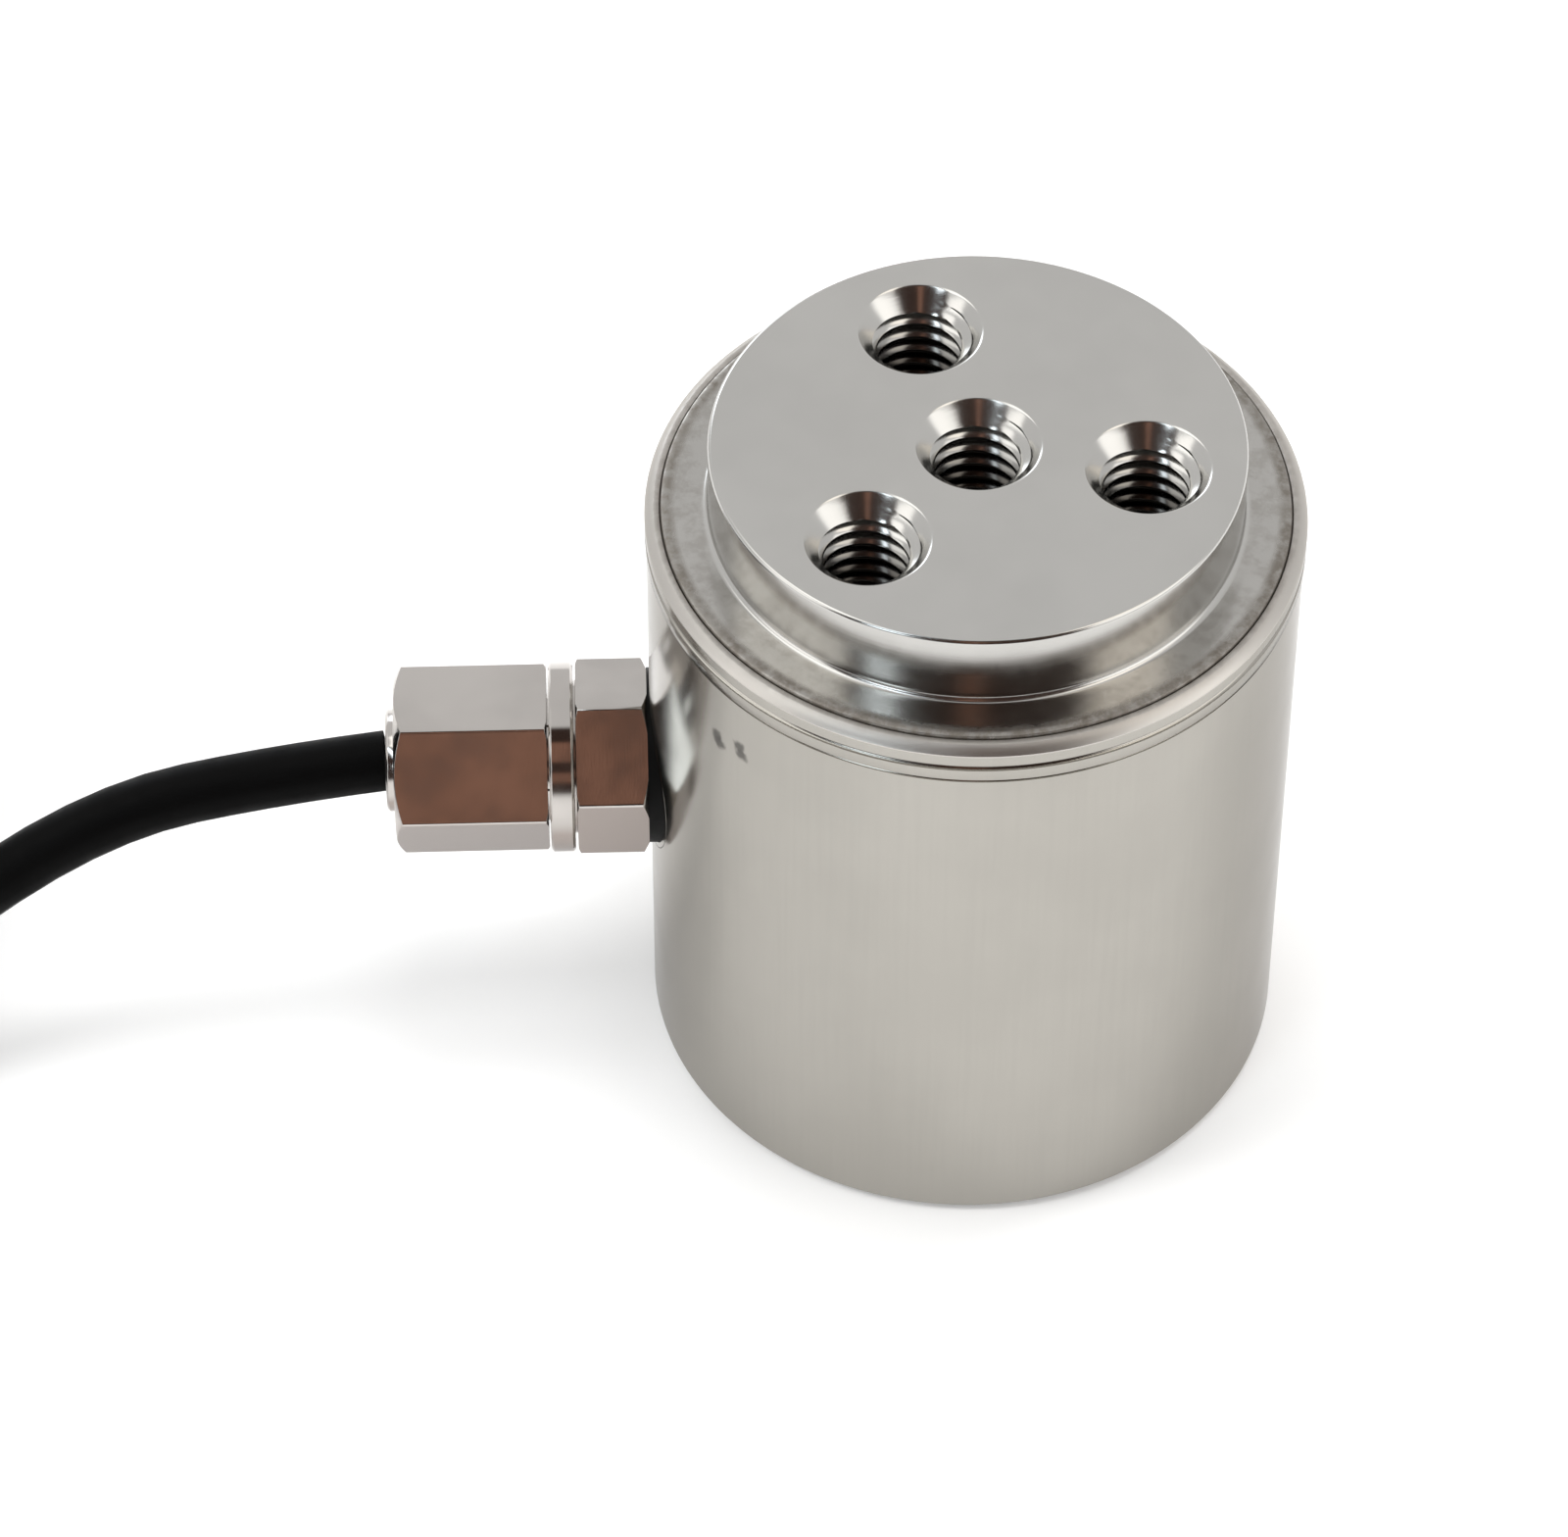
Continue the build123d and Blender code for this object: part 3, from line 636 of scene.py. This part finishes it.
def hexagon_rim(across_flats, tilt, corner_round=0.35, per_flat=11, per_corner=7):
    """(angle, radius) of points round a hexagon with rounded corners, one flat's normal at tilt."""
    half = across_flats / 2
    points = []
    inner = (half - corner_round) / math.cos(math.radians(30))
    for side in range(6):
        normal = math.radians(tilt + 60 * side)
        width = half * math.tan(math.radians(30)) - corner_round * math.tan(math.radians(30))
        for n in range(1, per_flat + 1):
            across = width * (2 * n / (per_flat + 1) - 1)
            x = half * math.cos(normal) - across * math.sin(normal)
            y = half * math.sin(normal) + across * math.cos(normal)
            points.append((math.atan2(y, x), math.hypot(x, y)))
        corner = normal + math.radians(30)
        for n in range(per_corner):
            a = normal + math.radians(60 * n / (per_corner - 1))
            x = inner * math.cos(corner) + corner_round * math.cos(a)
            y = inner * math.sin(corner) + corner_round * math.sin(a)
            points.append((math.atan2(y, x), math.hypot(x, y)))
    return points


def gland_circle(rim, radius, s):
    return [gland_point(radius * math.cos(a), radius * math.sin(a), s) for a, _ in rim]


def gland_rim(rim, s_of, limit=99.0):
    """The hexagon's outline, with each point at its own place along the axis and held under a radius."""
    row = []
    for a, r in rim:
        kept = min(r, limit)
        row.append(gland_point(kept * math.cos(a), kept * math.sin(a), s_of(r)))
    return row


BODY_FLATS, NUT_FLATS = 13.25, 13.0
BODY_CORNER = BODY_FLATS / math.sqrt(3)
NUT_CORNER = NUT_FLATS / math.sqrt(3)
CABLE_HOLE = 2.6
HEX_END = 5.55
COLLAR_START, COLLAR_END, COLLAR_RADIUS = 5.75, 7.65, 7.45
NUT_START, NUT_END, LIP_END, LIP_RADIUS = 7.8, 19.7, 20.4, 4.0
WASHER_END = 17.1
SPIGOT_END, SEAL_START = 16.05, 10.05
THREAD_END, NECK_END = 5.6, 1.6
NUT_CHAMFER, FOOT_CHAMFER = 1.1, 0.8
CHAMFER_SLOPE = math.tan(math.radians(30))
SMALL = 0.2


def make_nut():
    rim = hexagon_rim(NUT_FLATS, 35.0)
    bm = bmesh.new()

    def start_cut(r):
        return NUT_START + max(0.0, (r - (NUT_CORNER - 2 * SMALL)) / 2)

    def end_cut(r):
        return NUT_END - (r - (NUT_CORNER - NUT_CHAMFER)) * CHAMFER_SLOPE

    rows = [
        gland_circle(rim, 5.0, NUT_START),
        gland_rim(rim, lambda r: NUT_START, NUT_CORNER - 2 * SMALL),
        gland_rim(rim, start_cut),
        gland_rim(rim, end_cut),
        gland_circle(rim, NUT_CORNER - NUT_CHAMFER, NUT_END),
        gland_circle(rim, LIP_RADIUS, NUT_END),
        gland_circle(rim, LIP_RADIUS, LIP_END - SMALL),
        gland_circle(rim, LIP_RADIUS - SMALL, LIP_END),
        gland_circle(rim, CABLE_HOLE, LIP_END),
        gland_circle(rim, CABLE_HOLE, WASHER_END),
        gland_circle(rim, 5.0, WASHER_END),
    ]
    add_rows(bm, rows, loop=True)
    return finish_piece("gland_nut", bm, "gland_plating", "pressure_nut", bevel=0.07)


def make_gland_body():
    rim = hexagon_rim(BODY_FLATS, 47.0)
    bm = bmesh.new()

    foot_round = BODY_CORNER - FOOT_CHAMFER

    def start_cut(r):
        return max(0.0, r - foot_round) * CHAMFER_SLOPE

    def end_cut(r):
        return HEX_END - max(0.0, (r - (BODY_CORNER - 2 * SMALL)) / 2)

    rows = [
        gland_circle(rim, CABLE_HOLE, -THREAD_END),
        gland_circle(rim, 4.75, -THREAD_END),
        gland_circle(rim, 4.95, SMALL - THREAD_END),
        gland_circle(rim, 4.95, -NECK_END - 0.55),
        gland_circle(rim, 4.4, -NECK_END),
        gland_circle(rim, 4.4, 0.0),
        gland_circle(rim, 6.0, 0.0),
        gland_rim(rim, lambda r: 0.0, foot_round),
        gland_rim(rim, start_cut),
        gland_rim(rim, end_cut),
        gland_rim(rim, lambda r: HEX_END, BODY_CORNER - 2 * SMALL),
        gland_circle(rim, 6.0, HEX_END),
        gland_circle(rim, 6.0, COLLAR_START),
        gland_circle(rim, COLLAR_RADIUS - SMALL, COLLAR_START),
        gland_circle(rim, COLLAR_RADIUS, COLLAR_START + SMALL),
        gland_circle(rim, COLLAR_RADIUS, COLLAR_END - SMALL),
        gland_circle(rim, COLLAR_RADIUS - SMALL, COLLAR_END),
        gland_circle(rim, 4.95, COLLAR_END),
        gland_circle(rim, 4.95, SPIGOT_END - SMALL),
        gland_circle(rim, 4.75, SPIGOT_END),
        gland_circle(rim, 3.9, SPIGOT_END),
        gland_circle(rim, 3.9, SEAL_START),
        gland_circle(rim, CABLE_HOLE, SEAL_START),
    ]
    add_rows(bm, rows, loop=True)
    return finish_piece("gland_hexagon", bm, "gland_plating", "gland_body", bevel=0.06)


make_nut()
make_gland_body()


# Cable: the route's points as in the part's source, then the coil's turns and the tail

ROUTE = [
    (-45.5, 0.0, 26.9),
    (-54.0, -0.6, 26.2),
    (-68.0, -2.0, 23.8),
    (-84.0, -7.0, 14.5),
    (-97.0, -13.5, 6.0),
    (-109.0, -18.5, 3.3),
    (-123.0, -21.8, 3.3),
]
COLUMNS, LAYERS = 3, 6
POINTS_PER_TURN = 16
TAIL_ANGLE = -30.0
TAIL_LENGTH = 20.0
TAIL_INSET = 3.5
COIL_TOP = COIL_BOTTOM + LAYERS * 2 * CABLE_RADIUS
TAIL_HEIGHT = COIL_TOP + 2.75
LAST_START = 264.0


def turn_place(turn):
    """Radius and height of a turn: the layers run in and out by turns."""
    layer, step = divmod(turn, COLUMNS)
    column = step if layer % 2 == 0 else COLUMNS - 1 - step
    radius = COIL_MID + (1 - column) * 2 * CABLE_RADIUS
    return radius, COIL_BOTTOM + CABLE_RADIUS + layer * 2 * CABLE_RADIUS


def coil_point(radius, angle, height):
    """A point at an angle round the coil, angles in degrees."""
    a = math.radians(angle)
    return Vector((COIL_CENTRE[0] + radius * math.cos(a), COIL_CENTRE[1] + radius * math.sin(a), height))


def coil_points():
    """Turns clockwise from the entry at -90 degrees to the last turn's far side."""
    step = 360 / POINTS_PER_TURN
    outside = 1 / math.cos(math.radians(step / 2))
    last = COLUMNS * LAYERS - 1
    points = []
    travel = step
    while travel < last * 360 + LAST_START - step / 2:
        turn = int(travel // 360)
        phase = travel - 360 * turn
        radius, height = turn_place(turn)
        if turn < last:
            next_radius, next_height = turn_place(turn + 1)
            radius += (next_radius - radius) * smooth_step(225, 345, phase)
            height += (next_height - height) * smooth_step(225, 315, phase)
        points.append(coil_point(radius * outside, -90 - travel, height))
        travel += step
    return points


def last_stretch():
    """From the last turn up and in to the tail's end on top of the coil, in one easy curve."""
    radius, height = turn_place(COLUMNS * LAYERS - 1)
    start = coil_point(radius, -90 - LAST_START, height)
    start_way = Vector((math.sin(math.radians(-90 - LAST_START)), -math.cos(math.radians(-90 - LAST_START)), 0))
    end_angle = TAIL_ANGLE - math.degrees(TAIL_LENGTH / COIL_MID)
    before_angle = TAIL_ANGLE - math.degrees(TAIL_LENGTH / 2 / COIL_MID)
    end = coil_point(COIL_MID - TAIL_INSET, end_angle, TAIL_HEIGHT)
    before = coil_point(COIL_MID - 3.0, before_angle, TAIL_HEIGHT)
    end_way = (end - before).normalized()
    reach = 1.15 * (end - start).length
    points = []
    steps = 5
    for n in range(steps + 1):
        t = n / steps
        place = start * (2 * t**3 - 3 * t**2 + 1) + end * (3 * t**2 - 2 * t**3)
        place += start_way * reach * (t**3 - 2 * t**2 + t) + end_way * reach * (t**3 - t**2)
        place.z = height + (TAIL_HEIGHT - height) * smooth_step(0, 0.9, t)
        points.append(place)
    return points


def make_cable():
    points = ROUTE + coil_points() + last_stretch()
    curve = bpy.data.curves.new("signal_cable", "CURVE")
    curve.dimensions = "3D"
    curve.bevel_depth = CABLE_RADIUS * MM
    curve.bevel_resolution = 5
    curve.use_fill_caps = True
    curve.resolution_u = 5
    spline = curve.splines.new("NURBS")
    spline.points.add(len(points) - 1)
    for point, place in zip(spline.points, points):
        point.co = (*mm(*place), 1.0)
    spline.order_u = 3
    spline.use_endpoint_u = True
    spline.resolution_u = 5
    spline.use_smooth = True
    cable = bpy.data.objects.new("signal_cable", curve)
    bpy.context.scene.collection.objects.link(cable)
    curve.materials.append(MATERIALS["cable_jacket"])
    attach(cable, ROOT)
    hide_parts("cable", "cable_coil", "cable_tail")
    on_cable = ["coil_tie_1", "coil_tie_2", "end_sleeve", "lead_tips"]
    on_cable += ["lead_red", "lead_black", "lead_green", "lead_white", "lead_drain"]


make_cable()


# Floor, world and lamps


def make_floor():
    mesh = bpy.data.meshes.new("floor")
    bm = bmesh.new()
    bmesh.ops.create_grid(bm, x_segments=1, y_segments=1, size=4.0)
    bm.to_mesh(mesh)
    bm.free()
    floor = bpy.data.objects.new("floor", mesh)
    bpy.context.scene.collection.objects.link(floor)
    material = bpy.data.materials.new("floor_white")
    material.use_nodes = True
    tree = material.node_tree
    tree.nodes.clear()
    out = tree.nodes.new("ShaderNodeOutputMaterial")
    diffuse = tree.nodes.new("ShaderNodeBsdfDiffuse")
    diffuse.inputs["Color"].default_value = (0.8, 0.8, 0.8, 1)
    glow = tree.nodes.new("ShaderNodeEmission")
    path = tree.nodes.new("ShaderNodeLightPath")
    seen = tree.nodes.new("ShaderNodeMath")
    seen.operation = "MAXIMUM"
    tree.links.new(path.outputs["Is Camera Ray"], seen.inputs[0])
    tree.links.new(path.outputs["Is Glossy Ray"], seen.inputs[1])
    also = tree.nodes.new("ShaderNodeMath")
    also.operation = "MAXIMUM"
    tree.links.new(seen.outputs[0], also.inputs[0])
    tree.links.new(path.outputs["Is Transmission Ray"], also.inputs[1])
    level = tree.nodes.new("ShaderNodeMath")
    level.operation = "MULTIPLY"
    level.inputs[1].default_value = 0.22
    tree.links.new(also.outputs[0], level.inputs[0])
    tree.links.new(level.outputs[0], glow.inputs["Strength"])
    both = tree.nodes.new("ShaderNodeAddShader")
    tree.links.new(diffuse.outputs[0], both.inputs[0])
    tree.links.new(glow.outputs[0], both.inputs[1])
    tree.links.new(both.outputs[0], out.inputs["Surface"])
    mesh.materials.append(material)


make_floor()


def make_world():
    """White room, brown towards the photographer, a pale window at the left front."""
    world = bpy.data.worlds.new("studio")
    bpy.context.scene.world = world
    world.use_nodes = True
    tree = world.node_tree
    tree.nodes.clear()

    def add(kind, inputs=None, **settings):
        node = tree.nodes.new(kind)
        for key, value in settings.items():
            setattr(node, key, value)
        for key, value in (inputs or {}).items():
            if isinstance(value, bpy.types.NodeSocket):
                tree.links.new(value, node.inputs[key])
            else:
                node.inputs[key].default_value = value
        return node

    def calc(operation, a, b=0.0):
        return add("ShaderNodeMath", {0: a, 1: b}, operation=operation).outputs[0]

    def span(value, low, high, to_low=0.0, to_high=1.0):
        inputs = {0: value, 1: low, 2: high, 3: to_low, 4: to_high}
        return add("ShaderNodeMapRange", inputs, interpolation_type="SMOOTHSTEP").outputs[0]

    def blend(factor, a, b):
        node = add("ShaderNodeMix", {0: factor}, data_type="RGBA")
        for index, value in ((6, a), (7, b)):
            if isinstance(value, bpy.types.NodeSocket):
                tree.links.new(value, node.inputs[index])
            else:
                node.inputs[index].default_value = (*value, 1.0)
        return node.outputs[2]

    direction = add("ShaderNodeTexCoord").outputs["Generated"]
    x, y, z = add("ShaderNodeSeparateXYZ", {0: direction}).outputs
    azimuth = calc("MULTIPLY", calc("ARCTAN2", x, calc("MULTIPLY", y, -1.0)), 57.2958)
    elevation = calc("MULTIPLY", calc("ARCSINE", z), 57.2958)
    person = calc("MULTIPLY", span(azimuth, -60, -56), span(azimuth, 44, 54, 1.0, 0.0))
    person = calc("MULTIPLY", person, span(elevation, 1, 4))
    person = calc("MULTIPLY", person, span(elevation, 80, 86, 1.0, 0.0))
    lit = calc("MULTIPLY", span(azimuth, -11, -6), span(azimuth, 0.6, 2.2, 1.0, 0.0))
    lit = calc("MULTIPLY", lit, span(elevation, 14, 19))
    lit = calc("MULTIPLY", lit, span(elevation, 62, 68, 1.0, 0.0))
    unlit = calc("MULTIPLY", span(elevation, 27, 30), span(elevation, 40, 43, 1.0, 0.0))
    lit = calc("MULTIPLY", lit, calc("SUBTRACT", 1.0, unlit))
    high = calc("MULTIPLY", span(elevation, 44, 46), span(elevation, 68, 74, 1.0, 0.0))
    low = calc("MULTIPLY", span(elevation, 6, 12), span(elevation, 36, 42, 1.0, 0.0))
    window = calc("MULTIPLY", span(azimuth, -52, -50), span(azimuth, -40, -35, 1.0, 0.0))
    window = calc("MULTIPLY", window, calc("MULTIPLY", high, span(elevation, 45.5, 47.5)))
    low_window = calc("MULTIPLY", span(azimuth, -46, -42), span(azimuth, -30, -26, 1.0, 0.0))
    low_window = calc("MULTIPLY", low_window, calc("MULTIPLY", span(elevation, 18, 21), span(elevation, 32, 35, 1.0, 0.0)))
    left_light = calc("MULTIPLY", span(azimuth, -94, -86), span(azimuth, -63, -59, 1.0, 0.0))
    right_light = calc("MULTIPLY", span(azimuth, 36, 42), span(azimuth, 84, 94, 1.0, 0.0))
    sides = calc("MULTIPLY", calc("ADD", left_light, right_light), low)
    right_high = calc("MULTIPLY", span(azimuth, 46, 54), span(azimuth, 84, 96, 1.0, 0.0))
    right_high = calc("MULTIPLY", right_high, high)
    left_high = calc("MULTIPLY", span(azimuth, -134, -124), span(azimuth, -63, -59, 1.0, 0.0))
    left_high = calc("MULTIPLY", left_high, high)
    behind = calc("MULTIPLY", span(azimuth, -172, -166), span(azimuth, -150, -144, 1.0, 0.0))
    behind = calc("MULTIPLY", behind, calc("MULTIPLY", span(elevation, 4, 8), span(elevation, 27, 31, 1.0, 0.0)))
    figure = blend(lit, (0.055, 0.034, 0.027), (0.34, 0.177, 0.123))
    room = blend(person, (0.84, 0.84, 0.835), figure)
    room = blend(window, room, (3.2, 3.6, 3.9))
    room = blend(low_window, room, (3.8, 4.3, 4.6))
    room = blend(sides, room, (1.9, 1.88, 1.84))
    room = blend(right_high, room, (2.0, 1.9, 1.75))
    room = blend(left_high, room, (2.1, 2.1, 2.05))
    room = blend(behind, room, (3.3, 3.5, 3.7))
    path = add("ShaderNodeLightPath").outputs
    colour = blend(path["Is Camera Ray"], room, (1.0, 1.0, 1.0))
    background = add("ShaderNodeBackground", {"Color": colour, "Strength": 1.0})
    out = tree.nodes.new("ShaderNodeOutputWorld")
    tree.links.new(background.outputs[0], out.inputs["Surface"])


make_world()


def soft_lamp(name, place, target, size, power):
    data = bpy.data.lights.new(name, "AREA")
    data.shape = "RECTANGLE"
    data.size, data.size_y = size
    data.energy = power
    lamp = bpy.data.objects.new(name, data)
    bpy.context.scene.collection.objects.link(lamp)
    lamp.location = place
    lamp.rotation_mode = "QUATERNION"
    lamp.rotation_quaternion = (Vector(target) - Vector(place)).to_track_quat("-Z", "Y")
    lamp.visible_glossy = False


soft_lamp("key_left", (-0.55, -0.1, 0.65), (0, 0, 0.03), (0.25, 0.25), 2.0)
soft_lamp("overhead", (0.05, 0.1, 1.0), (0, 0, 0), (0.3, 0.3), 2.6)
soft_lamp("rim_right", (0.6, 0.35, 0.5), (0, 0, 0.03), (0.25, 0.25), 1.5)

bpy.context.scene.view_settings.view_transform = "Standard"
